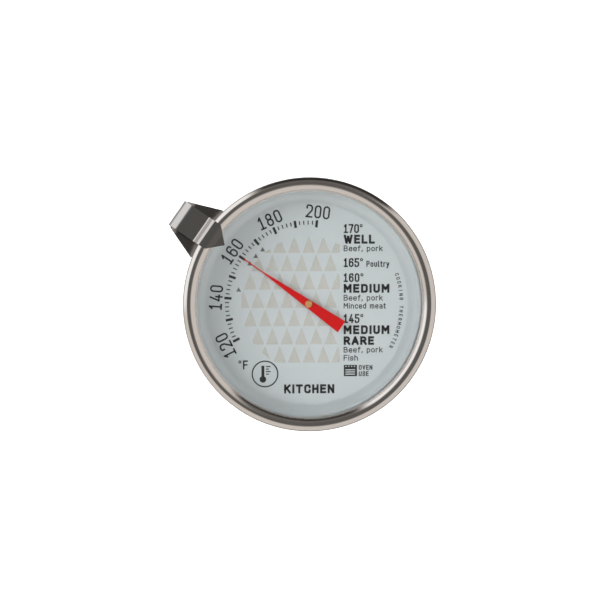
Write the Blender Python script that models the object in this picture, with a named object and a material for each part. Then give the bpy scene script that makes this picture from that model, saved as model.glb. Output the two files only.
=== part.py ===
"""Leave-in oven thermometer: a dial head on a probe stem, with a sliding target marker.

Units are metres. The dial faces +Z with 12 o'clock towards +Y, and the probe stem
runs down -Z. The origin is on the stem's axis, where the stem leaves the case back.
"""

import math

import bmesh
import bpy
from mathutils import Matrix, Vector

MM = 0.001

# Driving dimensions
HEAD_RADIUS = 35.0 * MM            # over the bezel
HEAD_DEPTH = 13.2 * MM             # case back to the bezel's crown
WINDOW_RADIUS = 31.25 * MM         # free opening inside the bezel
STEM_LENGTH = 114.0 * MM           # case back to the point
STEM_RADIUS = 2.0 * MM
STEM_WALL = 0.3 * MM
SHEET = 0.5 * MM                   # pressed steel of the case and the bezel
GAP = 0.3 * MM                     # between seated pieces
FINE_GAP = 0.12 * MM               # between the small pieces inside the stem

# Heights of the stack inside the bezel, upwards from the case back
CRIMP_BOTTOM = 4.8 * MM
CASE_FLANGE_BOTTOM = CRIMP_BOTTOM + SHEET + GAP
PAN_SHEET = 0.4 * MM
PAN_FLANGE_BOTTOM = CASE_FLANGE_BOTTOM + SHEET + GAP
PAN_FLANGE_TOP = PAN_FLANGE_BOTTOM + PAN_SHEET
GASKET_THICKNESS = 0.9 * MM
GASKET_BOTTOM = PAN_FLANGE_TOP + GAP
LENS_BOTTOM = GASKET_BOTTOM + GASKET_THICKNESS + GAP
LENS_THICKNESS = 2.3 * MM
LENS_TOP = LENS_BOTTOM + LENS_THICKNESS
LENS_RADIUS = 32.5 * MM

# Bezel: a bead round the top of a narrower skirt
CROWN_RADIUS = 33.3 * MM
BEAD_HEIGHT = 1.6 * MM             # crown down to the widest line
BEAD_INNER_WIDTH = 2.15 * MM       # half axes of the oval inner slope
BEAD_INNER_FALL = 1.9 * MM
SKIRT_RADIUS = 34.3 * MM
SKIRT_TOP = HEAD_DEPTH - 3.3 * MM

# Case cup
CASE_WALL_RADIUS = 32.1 * MM
CASE_CORNER = 4.0 * MM
CASE_FLANGE_RADIUS = 33.5 * MM
STEM_HOLE_RADIUS = STEM_RADIUS + GAP
SEAT_RADIUS = 9.0 * MM             # dished seat round the stem, for the collar
SEAT_DEPTH = 0.3 * MM
SEAT_SLOPE = 0.6 * MM

# Dial pan: a flat printed face with a hollow rim that rises to the glass
DIAL_FLAT_RADIUS = 27.9 * MM
DIAL_RIM_WIDTH = 3.0 * MM
DIAL_DEPTH_BELOW_FLANGE = 1.9 * MM
DIAL_TOP = PAN_FLANGE_TOP - DIAL_DEPTH_BELOW_FLANGE
PAN_FLANGE_RADIUS = 33.1 * MM
DIAL_HOLE_RADIUS = 0.75 * MM

# Pointer train
SHAFT_RADIUS = 0.3 * MM
POINTER_BOTTOM = DIAL_TOP + 1.4 * MM
POINTER_THICKNESS = 0.3 * MM
POINTER_REACH = 22.1 * MM
POINTER_TAIL = 11.2 * MM
POINTER_TAIL_WIDTH = 3.7 * MM
POINTER_NEEDLE_WIDTH = 0.32 * MM
POINTER_NEEDLE_START = 15.6 * MM
HUB_HEAD_RADIUS = 0.97 * MM
HUB_NECK_RADIUS = 0.72 * MM
REST_ANGLE = 145.2                 # degrees, where the pointer shows 160 F

# Sensing coil inside the stem
COIL_BOTTOM = -103.0 * MM
COIL_TURNS = 18
COIL_PITCH = 2.5 * MM
COIL_STRIP_WIDTH = 1.6 * MM
COIL_STRIP_THICKNESS = 0.2 * MM
COIL_RADIUS = 1.15 * MM            # middle of the strip
COIL_TOP = COIL_BOTTOM + COIL_TURNS * COIL_PITCH + COIL_STRIP_WIDTH
POINT_LENGTH = 8.0 * MM
TUBE_BOTTOM = -STEM_LENGTH + POINT_LENGTH
TUBE_TOP = 2.6 * MM

# Target marker: a bent spring strip that grips the rim
CLIP_SHEET = 0.4 * MM
CLIP_WIDTH = 7.9 * MM
CLIP_REAR_WIDTH = 15.6 * MM
CLIP_REACH = 44.4 * MM             # outside of its finger fold
CLIP_TAB_TOP = 11.0 * MM
CLIP_REAR_BOTTOM = CRIMP_BOTTOM - GAP - CLIP_SHEET
CLIP_FOLD_RADIUS = (CLIP_TAB_TOP - CLIP_REAR_BOTTOM) / 2
CLIP_REAR_BEND = 34.3 * MM         # where the rear leg stops flaring, under the rim
CLIP_TIP_RADIUS = 28.75 * MM
CLIP_REST_ANGLE = 145.3

HEAD_SEGMENTS = 60
STEM_SEGMENTS = 24
SHAFT_SEGMENTS = 16


def clear_scene():
    for item in list(bpy.data.objects):
        bpy.data.objects.remove(item)


def material(name, color, roughness, metallic):
    """One finish, kept by name so that sub-parts of the same stuff share it."""
    found = bpy.data.materials.get(name)
    if found:
        return found
    made = bpy.data.materials.new(name)
    made.use_nodes = True
    shader = made.node_tree.nodes["Principled BSDF"]
    shader.inputs["Base Color"].default_value = (*color, 1.0)
    shader.inputs["Roughness"].default_value = roughness
    shader.inputs["Metallic"].default_value = metallic
    made.diffuse_color = (*color, 1.0)
    return made


def polished_steel():
    return material("polished_steel", (0.60, 0.58, 0.56), 0.16, 1.0)


def brushed_steel():
    return material("brushed_steel", (0.55, 0.54, 0.53), 0.32, 1.0)


def spring_steel():
    return material("spring_steel", (0.45, 0.43, 0.41), 0.22, 1.0)


def dial_silver():
    return material("dial_silver", (0.60, 0.62, 0.64), 0.45, 0.7)


def pointer_red():
    return material("pointer_red", (0.66, 0.02, 0.02), 0.4, 0.0)


def brass():
    return material("brass", (0.66, 0.47, 0.22), 0.3, 1.0)


def clear_glass():
    return material("clear_glass", (0.9, 0.95, 0.95), 0.02, 0.0)


def silicone():
    return material("silicone", (0.55, 0.55, 0.53), 0.7, 0.0)


def bimetal():
    return material("bimetal", (0.50, 0.47, 0.42), 0.35, 1.0)


def add_object(name, mesh, finish):
    """Put a mesh in the scene as a sub-part, smooth except along its real edges."""
    mesh.materials.append(finish)
    mesh.shade_smooth()
    mesh.set_sharp_from_angle(angle=math.radians(40))
    made = bpy.data.objects.new(name, mesh)
    bpy.context.scene.collection.objects.link(made)
    return made


def mesh_from(name, shape):
    """Turn a bmesh into a mesh whose faces all point outwards."""
    bmesh.ops.recalc_face_normals(shape, faces=shape.faces)
    mesh = bpy.data.meshes.new(name)
    shape.to_mesh(mesh)
    shape.free()
    return mesh


def arc(center, radius, start, end, steps):
    """Points (r, z) along an arc, its angles in degrees from the outward direction."""
    points = []
    for i in range(steps + 1):
        angle = math.radians(start + (end - start) * i / steps)
        r = center[0] + radius * math.cos(angle)
        z = center[1] + radius * math.sin(angle)
        points.append((r, z))
    return points


def oval_arc(center, half_width, half_height, start, end, steps):
    """Points (r, z) along an arc that is wider or taller than a circle's."""
    points = []
    for r, z in arc((0, 0), 1.0, start, end, steps):
        points.append((center[0] + r * half_width, center[1] + z * half_height))
    return points


def turned_mesh(name, profile, segments):
    """Turn a closed outline of (r, z) points about Z. A point at r = 0 is a pole."""
    shape = bmesh.new()
    rings = []
    for r, z in profile:
        if r == 0:
            rings.append([shape.verts.new((0, 0, z))] * segments)
            continue
        ring = []
        for i in range(segments):
            angle = 2 * math.pi * i / segments
            ring.append(shape.verts.new((r * math.cos(angle), r * math.sin(angle), z)))
        rings.append(ring)
    for lower, upper in zip(rings, rings[1:] + rings[:1]):
        for i in range(segments):
            j = (i + 1) % segments
            corners = list(dict.fromkeys([lower[i], lower[j], upper[j], upper[i]]))
            if len(corners) > 2:
                shape.faces.new(corners)
    return mesh_from(name, shape)


def turned(name, profile, finish, segments=HEAD_SEGMENTS):
    return add_object(name, turned_mesh(name, profile, segments), finish)


def sheet_outline(face, thickness):
    """Close an open run of (r, z) points into a bent sheet, thickened to its left."""
    back = []
    for i, point in enumerate(face):
        before = Vector(face[max(i - 1, 0)])
        after = Vector(face[min(i + 1, len(face) - 1)])
        here = Vector(point)
        into = (here - before) if i else (after - here)
        out_of = (after - here) if i < len(face) - 1 else into
        side_in = Vector((-into.y, into.x)).normalized()
        side_out = Vector((-out_of.y, out_of.x)).normalized()
        miter = (side_in + side_out).normalized()
        back.append(tuple(here + miter * (thickness / miter.dot(side_in))))
    return list(face) + back[::-1]


def make_case_back():
    """Drawn cup: a dished seat, a flat back, a rounded corner, a wall and a flange."""
    flange_top = CASE_FLANGE_BOTTOM + SHEET
    corner_center = (CASE_WALL_RADIUS - CASE_CORNER, CASE_CORNER)
    seat = [(STEM_HOLE_RADIUS, SEAT_DEPTH), (SEAT_RADIUS, SEAT_DEPTH)]
    seat += [(SEAT_RADIUS + SEAT_SLOPE, 0.0)]
    outside = list(seat)
    outside += arc(corner_center, CASE_CORNER, -90, 0, 5)
    outside += [(CASE_WALL_RADIUS, CASE_FLANGE_BOTTOM)]
    outside += [(CASE_FLANGE_RADIUS, CASE_FLANGE_BOTTOM)]
    inside = [(CASE_FLANGE_RADIUS, flange_top)]
    inside += [(CASE_WALL_RADIUS - SHEET, flange_top)]
    inside += arc(corner_center, CASE_CORNER - SHEET, 0, -90, 5)
    inside += [(r, z + SHEET) for r, z in seat[::-1]]
    return turned("case_back", outside + inside, brushed_steel())


def make_bezel_ring():
    """Rolled ring: a short inner wall, a crowned bead, a narrower skirt and a crimped lip."""
    inner_center = (CROWN_RADIUS, HEAD_DEPTH - BEAD_INNER_FALL)
    outer_center = (CROWN_RADIUS, HEAD_DEPTH - BEAD_HEIGHT)
    outer_width = HEAD_RADIUS - CROWN_RADIUS
    fold = 0.8 * MM
    face = [(WINDOW_RADIUS, LENS_TOP + GAP), (WINDOW_RADIUS, HEAD_DEPTH - 1.2 * MM)]
    face += oval_arc(inner_center, BEAD_INNER_WIDTH, BEAD_INNER_FALL, 152, 90, 4)
    face += oval_arc(outer_center, outer_width, BEAD_HEIGHT, 68, -36, 5)
    face += [(SKIRT_RADIUS, SKIRT_TOP)]
    face += arc((SKIRT_RADIUS - fold, CRIMP_BOTTOM + fold), fold, 0, -90, 3)
    face += [(CASE_WALL_RADIUS + 0.5 * MM, CRIMP_BOTTOM)]
    return turned("bezel_ring", sheet_outline(face, -SHEET), polished_steel())


def make_lens():
    """Flat glass disc with ground corners."""
    bevel = 0.3 * MM
    profile = [(0, LENS_BOTTOM)]
    profile += [(LENS_RADIUS - bevel, LENS_BOTTOM), (LENS_RADIUS, LENS_BOTTOM + bevel)]
    profile += [(LENS_RADIUS, LENS_TOP - bevel), (LENS_RADIUS - bevel, LENS_TOP)]
    profile += [(0, LENS_TOP)]
    return turned("lens", profile, clear_glass())


def make_lens_gasket():
    """Silicone ring of L section, under the glass and round its edge."""
    inner = WINDOW_RADIUS + 0.15 * MM
    step = LENS_RADIUS + GAP
    outer = SKIRT_RADIUS - SHEET - GAP
    top = GASKET_BOTTOM + GASKET_THICKNESS
    profile = [(inner, GASKET_BOTTOM), (outer, GASKET_BOTTOM)]
    profile += [(outer, LENS_TOP - 1.0 * MM), (step, LENS_TOP - 1.0 * MM)]
    profile += [(step, top), (inner, top)]
    return turned("lens_gasket", profile, silicone())


def make_dial_pan():
    """Thin pressed pan: the printed flat, a hollow rim and a flange under the gasket."""
    rim_center = (DIAL_FLAT_RADIUS, PAN_FLANGE_TOP)
    shoulder = DIAL_FLAT_RADIUS + DIAL_RIM_WIDTH + 0.3 * MM
    face = [(DIAL_HOLE_RADIUS, DIAL_TOP)]
    face += oval_arc(rim_center, DIAL_RIM_WIDTH, DIAL_DEPTH_BELOW_FLANGE, -90, -10, 7)
    face += [(shoulder, PAN_FLANGE_TOP), (PAN_FLANGE_RADIUS, PAN_FLANGE_TOP)]
    return turned("dial_pan", sheet_outline(face, -PAN_SHEET), dial_silver())


def make_stem_tube():
    """Thin tube of the probe, open at both ends."""
    bore = STEM_RADIUS - STEM_WALL
    profile = [(bore, TUBE_BOTTOM), (STEM_RADIUS, TUBE_BOTTOM)]
    profile += [(STEM_RADIUS, TUBE_TOP), (bore, TUBE_TOP)]
    return turned("stem_tube", profile, brushed_steel(), STEM_SEGMENTS)


def make_stem_tip():
    """Solid point with a spigot that plugs the tube."""
    spigot = STEM_RADIUS - STEM_WALL - FINE_GAP
    point_radius = 0.35 * MM
    bottom = -STEM_LENGTH
    seat = TUBE_BOTTOM - FINE_GAP
    profile = [(0, bottom)]
    profile += arc((0, bottom + point_radius), point_radius, -50, -10, 2)
    profile += [(STEM_RADIUS, seat), (spigot, seat)]
    profile += [(spigot, TUBE_BOTTOM + 1.6 * MM), (0, TUBE_BOTTOM + 1.6 * MM)]
    return turned("stem_tip", profile, brushed_steel(), STEM_SEGMENTS)


def make_stem_collar():
    """Stepped ferrule round the stem, against the outside of the case back."""
    bore = STEM_RADIUS + FINE_GAP
    top = SEAT_DEPTH - GAP
    profile = [(bore, -7.0 * MM), (2.7 * MM, -7.0 * MM), (3.1 * MM, -6.2 * MM)]
    profile += [(3.6 * MM, -2.2 * MM), (3.6 * MM, -1.6 * MM), (6.0 * MM, -1.5 * MM)]
    profile += [(6.4 * MM, -1.1 * MM), (6.4 * MM, top), (bore, top)]
    return turned("stem_collar", profile, brushed_steel(), STEM_SEGMENTS * 2)


def make_stem_flange():
    """Backing washer round the stem, on the inside of the case back."""
    bore = STEM_RADIUS + FINE_GAP
    bottom = SEAT_DEPTH + SHEET + GAP
    profile = [(bore, bottom), (8.0 * MM, bottom), (8.0 * MM, bottom + 0.8 * MM)]
    profile += [(bore, bottom + 0.8 * MM)]
    return turned("stem_flange", profile, brushed_steel(), STEM_SEGMENTS * 2)


def make_upper_bushing():
    """Flanged brass bearing in the mouth of the stem, under the dial."""
    bore = SHAFT_RADIUS + FINE_GAP
    sleeve = STEM_RADIUS - STEM_WALL - FINE_GAP
    seat = TUBE_TOP + FINE_GAP
    profile = [(bore, TUBE_TOP - 4.0 * MM), (sleeve, TUBE_TOP - 4.0 * MM)]
    profile += [(sleeve, seat), (2.4 * MM, seat), (2.4 * MM, seat + 0.6 * MM)]
    profile += [(bore, seat + 0.6 * MM)]
    return turned("upper_bushing", profile, brass(), STEM_SEGMENTS)


def make_shaft_guide(name, bottom):
    """Plain brass sleeve that keeps the shaft central in the stem."""
    bore = SHAFT_RADIUS + FINE_GAP
    sleeve = STEM_RADIUS - STEM_WALL - FINE_GAP
    length = 2.4 * MM
    profile = [(bore, bottom), (sleeve, bottom)]
    profile += [(sleeve, bottom + length), (bore, bottom + length)]
    return turned(name, profile, brass(), STEM_SEGMENTS)


def make_coil_anchor():
    """Plug fixed in the tube, whose peg holds the coil's lowest turn."""
    sleeve = STEM_RADIUS - STEM_WALL - FINE_GAP
    peg = COIL_RADIUS - COIL_STRIP_THICKNESS / 2 - FINE_GAP
    plug_top = COIL_BOTTOM - FINE_GAP
    peg_top = COIL_BOTTOM + COIL_STRIP_WIDTH
    profile = [(0, plug_top - 1.0 * MM), (sleeve, plug_top - 1.0 * MM), (sleeve, plug_top)]
    profile += [(peg, plug_top), (peg, peg_top), (0, peg_top)]
    return turned("coil_anchor", profile, brushed_steel(), STEM_SEGMENTS)


def make_bimetal_coil():
    """Flat strip wound edge-on into a helix, a rectangle swept up the coil."""
    steps_per_turn = 12
    shape = bmesh.new()
    inner = COIL_RADIUS - COIL_STRIP_THICKNESS / 2
    outer = COIL_RADIUS + COIL_STRIP_THICKNESS / 2
    rings = []
    for i in range(COIL_TURNS * steps_per_turn + 1):
        angle = 2 * math.pi * i / steps_per_turn
        low = COIL_BOTTOM + COIL_PITCH * i / steps_per_turn
        high = low + COIL_STRIP_WIDTH
        ring = []
        for r, z in ((inner, low), (outer, low), (outer, high), (inner, high)):
            ring.append(shape.verts.new((r * math.cos(angle), r * math.sin(angle), z)))
        rings.append(ring)
    for here, after in zip(rings, rings[1:]):
        for k in range(4):
            m = (k + 1) % 4
            shape.faces.new((here[k], here[m], after[m], after[k]))
    shape.faces.new(rings[0])
    shape.faces.new(rings[-1])
    return add_object("bimetal_coil", mesh_from("bimetal_coil", shape), bimetal())


def make_coil_top_collar():
    """Small collar on the shaft's lower end, inside the coil's highest turn."""
    bore = SHAFT_RADIUS + FINE_GAP
    body = COIL_RADIUS - COIL_STRIP_THICKNESS / 2 - FINE_GAP
    bottom = COIL_TOP - COIL_STRIP_WIDTH
    top = COIL_TOP + 1.2 * MM
    profile = [(bore, bottom), (body, bottom), (body, top), (bore, top)]
    return turned("coil_top_collar", profile, brass(), STEM_SEGMENTS)


def make_pointer_shaft():
    """Thin spindle from the coil up through the dial to the hub."""
    bottom = COIL_TOP - COIL_STRIP_WIDTH
    top = POINTER_BOTTOM + POINTER_THICKNESS + 0.55 * MM
    profile = [(0, bottom), (SHAFT_RADIUS, bottom), (SHAFT_RADIUS, top), (0, top)]
    return turned("pointer_shaft", profile, polished_steel(), SHAFT_SEGMENTS)


def make_pointer_hub():
    """Brass hub closed over both faces of the pointer."""
    bore = SHAFT_RADIUS + FINE_GAP
    below = POINTER_BOTTOM - FINE_GAP
    above = POINTER_BOTTOM + POINTER_THICKNESS + FINE_GAP
    profile = [(bore, below - 0.7 * MM), (HUB_HEAD_RADIUS, below - 0.7 * MM)]
    profile += [(HUB_HEAD_RADIUS, below), (HUB_NECK_RADIUS, below)]
    profile += [(HUB_NECK_RADIUS, above), (HUB_HEAD_RADIUS, above)]
    profile += [(HUB_HEAD_RADIUS, above + 0.25 * MM)]
    profile += [(HUB_HEAD_RADIUS - 0.2 * MM, above + 0.45 * MM)]
    profile += [(bore, above + 0.45 * MM)]
    return turned("pointer_hub", profile, brass(), STEM_SEGMENTS)


def pointer_half_width(x):
    """Half width of the blade: an even taper from the tail, then a fine needle."""
    run = (x + POINTER_TAIL) / (POINTER_NEEDLE_START + POINTER_TAIL)
    taper = POINTER_TAIL_WIDTH + (POINTER_NEEDLE_WIDTH - POINTER_TAIL_WIDTH) * min(run, 1.0)
    return taper / 2


def make_pointer():
    """Flat blade along its own +X, turned to its rest angle, with a hole for the hub."""
    stations = (-POINTER_TAIL, POINTER_NEEDLE_START, POINTER_REACH - 0.3 * MM)
    upper_edge = [(x, pointer_half_width(x)) for x in stations]
    lower_edge = [(x, -w) for x, w in upper_edge]
    outline = lower_edge + [(POINTER_REACH, 0.0)] + upper_edge[::-1]
    shape = bmesh.new()
    blade = shape.faces.new([shape.verts.new((x, y, POINTER_BOTTOM)) for x, y in outline])
    grown = bmesh.ops.extrude_face_region(shape, geom=[blade])
    lifted = [item for item in grown["geom"] if isinstance(item, bmesh.types.BMVert)]
    bmesh.ops.translate(shape, verts=lifted, vec=(0, 0, POINTER_THICKNESS))
    bmesh.ops.rotate(shape, verts=shape.verts, cent=(0, 0, 0),
                     matrix=Matrix.Rotation(math.radians(REST_ANGLE), 3, "Z"))
    made = add_object("pointer", mesh_from("pointer", shape), pointer_red())
    cut_hole(made, HUB_NECK_RADIUS + FINE_GAP, POINTER_BOTTOM - 1.0 * MM, 3.0 * MM)
    return made


def cut_hole(target, radius, bottom, height):
    """Drill a round hole along Z with a hidden cylinder."""
    profile = [(0, bottom), (radius, bottom), (radius, bottom + height), (0, bottom + height)]
    cutter = bpy.data.objects.new(
        target.name + "_hole", turned_mesh(target.name + "_hole", profile, STEM_SEGMENTS))
    bpy.context.scene.collection.objects.link(cutter)
    cutter.hide_render = True
    cutter.display_type = "WIRE"
    drill = target.modifiers.new("hole", "BOOLEAN")
    drill.operation = "DIFFERENCE"
    drill.solver = "EXACT"
    drill.object = cutter


def clip_front_path():
    """Upper face of the front leg, from its flat point over the glass to the finger tab."""
    saddle_top = HEAD_DEPTH + GAP + CLIP_SHEET
    point_top = saddle_top - 0.2 * MM
    path = [(CLIP_TIP_RADIUS, point_top, 0.15 * MM), (31.0 * MM, point_top, 2.2 * MM)]
    path += [(32.3 * MM, saddle_top - 0.05 * MM, CLIP_WIDTH / 2 - 0.45 * MM)]
    path += [(32.8 * MM, saddle_top, CLIP_WIDTH / 2)]
    for r, z in arc((33.3 * MM, saddle_top - 2.6 * MM), 2.6 * MM, 90, 18, 5):
        path.append((r, z, CLIP_WIDTH / 2))
    path.append((36.5 * MM, CLIP_TAB_TOP + 0.35 * MM, CLIP_WIDTH / 2))
    path.append((37.1 * MM, CLIP_TAB_TOP, CLIP_WIDTH / 2))
    return path


def rear_half_width(r):
    """Half width of the rear leg, which flares evenly from the fold to the rim."""
    run = (CLIP_REACH - r) / (CLIP_REACH - CLIP_REAR_BEND)
    return (CLIP_WIDTH + (CLIP_REAR_WIDTH - CLIP_WIDTH) * min(run, 1.0)) / 2


def clip_rear_path():
    """Outer face of the finger fold and of the level rear leg that hooks behind the rim."""
    fold_center = (CLIP_REACH - CLIP_FOLD_RADIUS, CLIP_TAB_TOP - CLIP_FOLD_RADIUS)
    path = []
    for r, z in arc(fold_center, CLIP_FOLD_RADIUS, 90, 0, 5):
        path.append((r, z, CLIP_WIDTH / 2))
    lower = arc(fold_center, CLIP_FOLD_RADIUS, -18, -90, 4)
    lower += [(CLIP_REAR_BEND, CLIP_REAR_BOTTOM), (33.0 * MM, CLIP_REAR_BOTTOM)]
    for r, z in lower:
        path.append((r, z, rear_half_width(r)))
    return path


def make_target_marker_clip():
    """One bent strip: point, saddle, finger fold and flared rear leg."""
    path = clip_front_path() + clip_rear_path()
    face = [(r, z) for r, z, half in path]
    outline = sheet_outline(face, -CLIP_SHEET)
    count = len(path)
    shape = bmesh.new()
    rings = []
    for i, (r, z, half) in enumerate(path):
        inner_r, inner_z = outline[2 * count - 1 - i]
        corners = ((r, half, z), (r, -half, z), (inner_r, -half, inner_z), (inner_r, half, inner_z))
        rings.append([shape.verts.new(corner) for corner in corners])
    for here, after in zip(rings, rings[1:]):
        for k in range(4):
            m = (k + 1) % 4
            shape.faces.new((here[k], here[m], after[m], after[k]))
    shape.faces.new(rings[0])
    shape.faces.new(rings[-1])
    bmesh.ops.rotate(shape, verts=shape.verts, cent=(0, 0, 0),
                     matrix=Matrix.Rotation(math.radians(CLIP_REST_ANGLE), 3, "Z"))
    mesh = mesh_from("target_marker_clip", shape)
    return add_object("target_marker_clip", mesh, spring_steel())


def joint_empty(name, pieces):
    """An empty on the head's axis that carries the pieces turning about it."""
    axis = bpy.data.objects.new(name, None)
    axis.empty_display_size = 0.01
    bpy.context.scene.collection.objects.link(axis)
    for piece in pieces:
        piece.parent = axis


def main():
    clear_scene()
    make_case_back()
    make_bezel_ring()
    make_lens()
    make_lens_gasket()
    make_dial_pan()
    make_stem_tube()
    make_stem_tip()
    make_stem_collar()
    make_stem_flange()
    make_upper_bushing()
    make_shaft_guide("middle_guide", -26.0 * MM)
    make_shaft_guide("lower_guide", COIL_TOP + 3.0 * MM)
    make_coil_anchor()
    coil = make_bimetal_coil()
    train = [make_coil_top_collar(), make_pointer_shaft(), make_pointer_hub(), make_pointer()]
    joint_empty("pointer_axis", train + [coil])
    joint_empty("marker_axis", [make_target_marker_clip()])


main()
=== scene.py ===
"""Looks of the leave-in oven thermometer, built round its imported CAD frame.

Units are metres in the CAD's frame: the dial faces +Z, 12 o'clock is towards +Y and
the stem runs down -Z. Sizes come from the CAD nodes' boxes where they exist there.
"""

import math

import bmesh
import bpy
from mathutils import Matrix, Vector


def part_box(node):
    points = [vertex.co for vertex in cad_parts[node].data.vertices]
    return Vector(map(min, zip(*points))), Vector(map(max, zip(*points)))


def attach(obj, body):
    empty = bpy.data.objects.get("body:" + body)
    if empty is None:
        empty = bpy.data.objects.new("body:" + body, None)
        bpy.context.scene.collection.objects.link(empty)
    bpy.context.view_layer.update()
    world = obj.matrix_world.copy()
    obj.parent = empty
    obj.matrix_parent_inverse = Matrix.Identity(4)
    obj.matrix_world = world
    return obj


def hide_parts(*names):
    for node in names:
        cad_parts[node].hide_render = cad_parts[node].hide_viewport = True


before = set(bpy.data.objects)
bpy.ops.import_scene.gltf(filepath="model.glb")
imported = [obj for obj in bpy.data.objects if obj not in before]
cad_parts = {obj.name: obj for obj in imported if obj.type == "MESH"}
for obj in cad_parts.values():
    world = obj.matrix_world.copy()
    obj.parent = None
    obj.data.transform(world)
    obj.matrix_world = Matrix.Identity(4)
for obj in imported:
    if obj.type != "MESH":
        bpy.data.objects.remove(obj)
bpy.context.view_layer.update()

MM = 0.001


def low(node):
    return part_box(node)[0]


def high(node):
    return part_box(node)[1]


def heights(node):
    """Lowest and highest Z of a CAD node."""
    return low(node)[2], high(node)[2]


# Heights and radii read from the frame
HEAD_RADIUS = high("bezel_ring")[0]
CROWN_TOP = high("bezel_ring")[2]
RIM_BACK = low("bezel_ring")[2]
LENS_RADIUS = high("lens")[0]
LENS_BOTTOM, LENS_TOP = heights("lens")
PAN_TOP = high("dial_pan")[2]
PAN_SHEET = 0.4 * MM
DIAL_TOP = low("dial_pan")[2] + PAN_SHEET
PAN_RADIUS = high("dial_pan")[0]
POINTER_BOTTOM, POINTER_TOP = heights("pointer")
STEM_RADIUS = high("stem_tube")[0]
FLOOR_Z = low("stem_tip")[2]
SHEET = 0.5 * MM
CLIP_SHEET = 0.4 * MM
GAP = 0.3 * MM                     # between seated pieces
FINE_GAP = 0.12 * MM               # between the small pieces of the stem and the hub

# The scale: 160 F is where the pointer rests, and each degree F turns it clockwise
REST_ANGLE = 145.2
REST_TEMPERATURE = 160
DEGREES_PER_F = 1.535
CLIP_ANGLE = 145.3

DIAL_FLAT_RADIUS = 27.9 * MM
INK_LIFT = 0.008 * MM
INK_THICKNESS = 0.02 * MM


# ---- material helpers

def srgb(red, green, blue):
    """Linear colour from 0-255 display values."""
    values = []
    for channel in (red, green, blue):
        c = channel / 255
        values.append(c / 12.92 if c <= 0.04045 else ((c + 0.055) / 1.055) ** 2.4)
    return (*values, 1.0)


class Nodes:
    """Short calls for building a node tree."""

    def __init__(self, tree):
        self.tree = tree

    def add(self, kind, settings=None, **inputs):
        made = self.tree.nodes.new("ShaderNode" + kind)
        for key, value in (settings or {}).items():
            setattr(made, key, value)
        for key, value in inputs.items():
            self.put(made.inputs[key.replace("_", " ")], value)
        return made

    def put(self, socket, value):
        if isinstance(value, bpy.types.NodeSocket):
            self.tree.links.new(value, socket)
        else:
            socket.default_value = value

    def math(self, operation, a, b=0.0):
        made = self.add("Math", {"operation": operation})
        self.put(made.inputs[0], a)
        self.put(made.inputs[1], b)
        return made.outputs[0]

    def position(self):
        return self.add("TexCoord").outputs["Object"]

    def ring_position(self, across, along):
        """Coordinates that run round the Z axis: fine across the turning, slow along it."""
        parts = self.add("SeparateXYZ", Vector=self.position()).outputs
        flat = self.add("CombineXYZ", X=parts[0], Y=parts[1]).outputs[0]
        radius = self.add("VectorMath", {"operation": "LENGTH"})
        self.put(radius.inputs[0], flat)
        around = self.add("VectorMath", {"operation": "NORMALIZE"})
        self.put(around.inputs[0], flat)
        stretched = self.add("VectorMath", {"operation": "SCALE"}, Scale=along)
        self.put(stretched.inputs[0], around.outputs[0])
        turn = self.add("SeparateXYZ", Vector=stretched.outputs[0]).outputs
        height = self.math("MULTIPLY", parts[2], 1.37)
        depth = self.math("MULTIPLY", self.math("ADD", radius.outputs["Value"], height), across)
        return self.add("CombineXYZ", X=turn[0], Y=turn[1], Z=depth).outputs[0]

    def stretched_position(self, x, y, z):
        return self.add("Mapping", Vector=self.position(), Scale=(x, y, z)).outputs[0]

    def noise(self, vector, scale=1.0, detail=3.0, roughness=0.55):
        return self.add("TexNoise", Vector=vector, Scale=scale, Detail=detail,
                        Roughness=roughness).outputs["Fac"]

    def spread(self, value, lowest, highest, start=0.3, end=0.7):
        made = self.add("MapRange", Value=value, From_Min=start, From_Max=end,
                        To_Min=lowest, To_Max=highest)
        return made.outputs["Result"]

    def tint(self, factor, dark, light):
        made = self.add("Mix", {"data_type": "RGBA"})
        self.put(made.inputs["Factor"], factor)
        self.put(made.inputs[6], dark)
        self.put(made.inputs[7], light)
        return made.outputs[2]

    def blend(self, factor, first, second):
        """The first number where the factor is 0, the second where it is 1."""
        made = self.add("Mix")
        self.put(made.inputs[0], factor)
        self.put(made.inputs[2], first)
        self.put(made.inputs[3], second)
        return made.outputs[0]

    def bump(self, height, distance, strength=1.0):
        made = self.add("Bump", Height=height, Distance=distance, Strength=strength)
        return made.outputs["Normal"]

    def band(self, value, start, end, blur):
        """1 between two values and 0 outside them, with soft borders."""
        soft = {"interpolation_type": "SMOOTHSTEP"}
        rise = self.add("MapRange", soft, Value=value, From_Min=start - blur,
                        From_Max=start + blur).outputs["Result"]
        fall = self.add("MapRange", soft, Value=value, From_Min=end + blur,
                        From_Max=end - blur).outputs["Result"]
        return self.math("MULTIPLY", rise, fall)


class Finish(Nodes):
    """A new material, and the settings of its surface shader."""

    def __init__(self, name):
        self.material = bpy.data.materials.new(name)
        self.material.use_nodes = True
        super().__init__(self.material.node_tree)
        self.shader = self.tree.nodes["Principled BSDF"]
        self.output = self.tree.nodes["Material Output"]

    def set(self, **inputs):
        for key, value in inputs.items():
            self.put(self.shader.inputs[key.replace("_", " ")], value)


def scaled(color, factor):
    return (*[c * factor for c in color[:3]], 1.0)


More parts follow.
